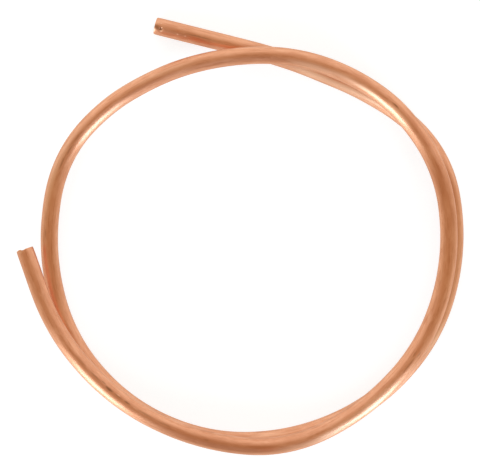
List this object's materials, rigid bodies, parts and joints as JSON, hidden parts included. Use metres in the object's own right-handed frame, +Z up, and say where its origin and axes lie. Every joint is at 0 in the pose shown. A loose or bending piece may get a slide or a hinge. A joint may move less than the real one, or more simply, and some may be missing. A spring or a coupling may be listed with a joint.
{
  "type": "copper tube coil",
  "caption": "Short length of bare soft copper tube, open at both square-cut ends, bent by hand into a loose flat coil.",
  "frame": {"origin": "on the floor, below the middle of the coil's bounding box", "axes": "+Z up out of the coil's plane; +X to the right and +Y to the back, seen from above with the tube's ends at the left and the back left"},
  "size_m": [0.243, 0.2378, 0.0192],
  "materials": {
    "copper": "satin"
  },
  "bodies": {
    "root": {"copper_tube": "copper"}
  },
  "joints": []
}
